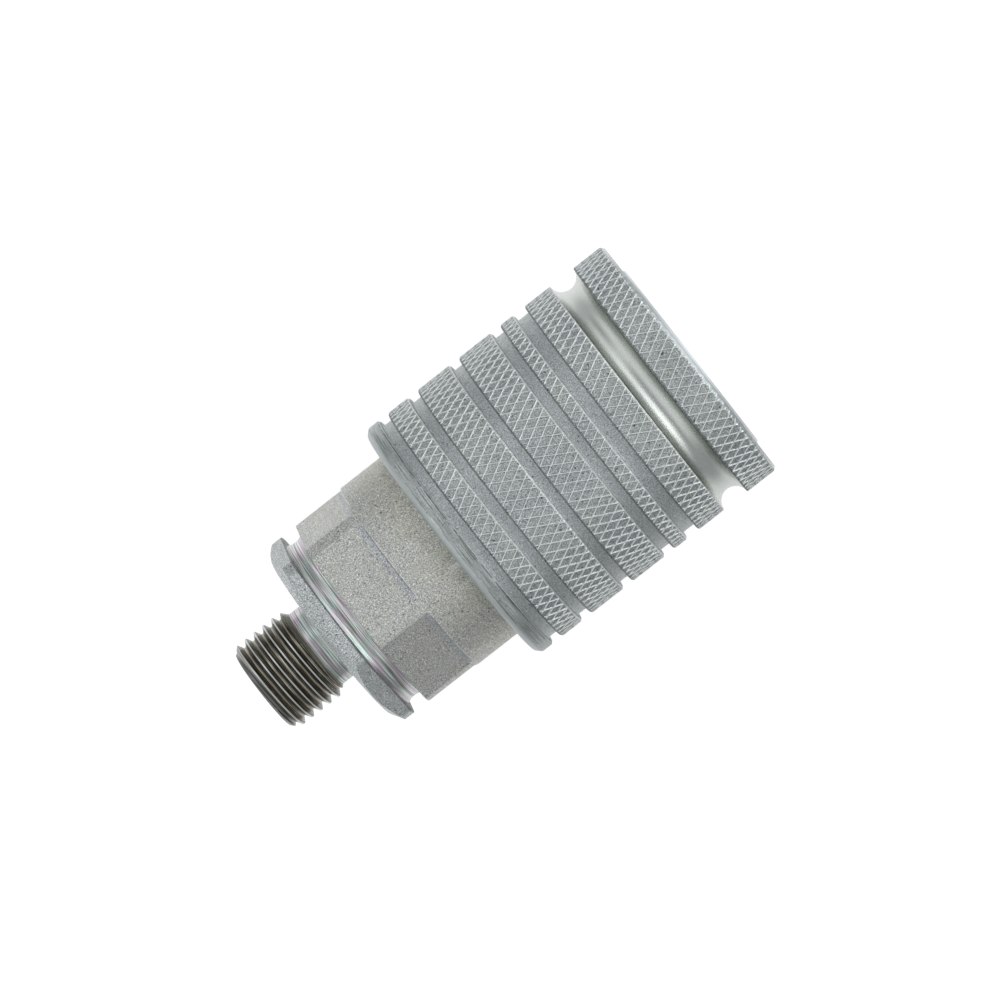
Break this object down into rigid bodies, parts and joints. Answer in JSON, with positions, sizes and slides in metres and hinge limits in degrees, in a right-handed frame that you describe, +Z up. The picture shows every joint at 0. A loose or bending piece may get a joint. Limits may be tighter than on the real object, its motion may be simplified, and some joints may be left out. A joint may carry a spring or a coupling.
{
  "type": "quick disconnect coupler",
  "caption": "Quick disconnect coupler socket: knurled pull-back sleeve over a ball lock, spring-closed poppet valve, hexagon body and a male tube-fitting thread.",
  "frame": {"origin": "centre of the mating face, on the coupler's axis", "axes": "+X runs back along the axis from the mating face to the port thread; +Z is up with the coupler lying on its side; one pair of wrench flats is tilted 14 degrees from +Z towards -Y"},
  "size_m": [0.073, 0.038, 0.038],
  "materials": {
    "sleeve_plating": "blasted and zinc plated, satin, blue-grey",
    "body_plating": "blasted and zinc plated, satin, warm grey with a faint yellow passivation",
    "spring_steel": "drawn wire, oiled",
    "ball_steel": "hardened and polished",
    "valve_steel": "fine turned",
    "seal_rubber": "moulded nitrile rubber",
    "ptfe": "turned PTFE"
  },
  "bodies": {
    "coupler_body": {"tail_body": "body_plating", "socket_body": "body_plating", "sleeve_snap_ring": "spring_steel", "sleeve_spring": "spring_steel", "interface_backup_ring": "ptfe", "interface_o_ring": "seal_rubber", "body_backup_ring": "ptfe", "body_o_ring": "seal_rubber", "poppet_spring": "spring_steel", "valve_guide": "valve_steel", "guide_retaining_ring": "spring_steel"},
    "sleeve": {"locking_sleeve": "sleeve_plating"},
    "valve_poppet": {"poppet": "valve_steel", "poppet_seal": "seal_rubber", "poppet_seal_retainer": "valve_steel"},
    "locking_ball_1": {"ball_1": "ball_steel"},
    "locking_ball_2": {"ball_2": "ball_steel"},
    "locking_ball_3": {"ball_3": "ball_steel"},
    "locking_ball_4": {"ball_4": "ball_steel"},
    "locking_ball_5": {"ball_5": "ball_steel"},
    "locking_ball_6": {"ball_6": "ball_steel"},
    "locking_ball_7": {"ball_7": "ball_steel"},
    "locking_ball_8": {"ball_8": "ball_steel"}
  },
  "joints": [
    {"name": "sleeve_slide", "type": "slide", "parent": "coupler_body", "child": "sleeve", "axis": [1, 0, 0], "range_m": [0, 0.0055], "stiffness_N_per_m": 585, "springref_m": -0.014, "deforming": ["sleeve_spring"]},
    {"name": "poppet_slide", "type": "slide", "parent": "coupler_body", "child": "valve_poppet", "axis": [1, 0, 0], "range_m": [0, 0.006], "stiffness_N_per_m": 3130, "springref_m": -0.006, "deforming": ["poppet_spring"]},
    {"name": "ball_1_slide", "type": "slide", "parent": "coupler_body", "child": "locking_ball_1", "axis": [0, 1, 0], "range_m": [0, 0.0012]},
    {"name": "ball_2_slide", "type": "slide", "parent": "coupler_body", "child": "locking_ball_2", "axis": [0, 0.7071, 0.7071], "range_m": [0, 0.0012]},
    {"name": "ball_3_slide", "type": "slide", "parent": "coupler_body", "child": "locking_ball_3", "axis": [0, 0, 1], "range_m": [0, 0.0012]},
    {"name": "ball_4_slide", "type": "slide", "parent": "coupler_body", "child": "locking_ball_4", "axis": [0, -0.7071, 0.7071], "range_m": [0, 0.0012]},
    {"name": "ball_5_slide", "type": "slide", "parent": "coupler_body", "child": "locking_ball_5", "axis": [0, -1, 0], "range_m": [0, 0.0012]},
    {"name": "ball_6_slide", "type": "slide", "parent": "coupler_body", "child": "locking_ball_6", "axis": [0, -0.7071, -0.7071], "range_m": [0, 0.0012]},
    {"name": "ball_7_slide", "type": "slide", "parent": "coupler_body", "child": "locking_ball_7", "axis": [0, 0, -1], "range_m": [0, 0.0012]},
    {"name": "ball_8_slide", "type": "slide", "parent": "coupler_body", "child": "locking_ball_8", "axis": [0, 0.7071, -0.7071], "range_m": [0, 0.0012]}
  ],
  "couplings": [
    {"joint": "ball_1_slide", "follows": "sleeve_slide", "ratio": 0.211},
    {"joint": "ball_2_slide", "follows": "sleeve_slide", "ratio": 0.211},
    {"joint": "ball_3_slide", "follows": "sleeve_slide", "ratio": 0.211},
    {"joint": "ball_4_slide", "follows": "sleeve_slide", "ratio": 0.211},
    {"joint": "ball_5_slide", "follows": "sleeve_slide", "ratio": 0.211},
    {"joint": "ball_6_slide", "follows": "sleeve_slide", "ratio": 0.211},
    {"joint": "ball_7_slide", "follows": "sleeve_slide", "ratio": 0.211},
    {"joint": "ball_8_slide", "follows": "sleeve_slide", "ratio": 0.211}
  ]
}
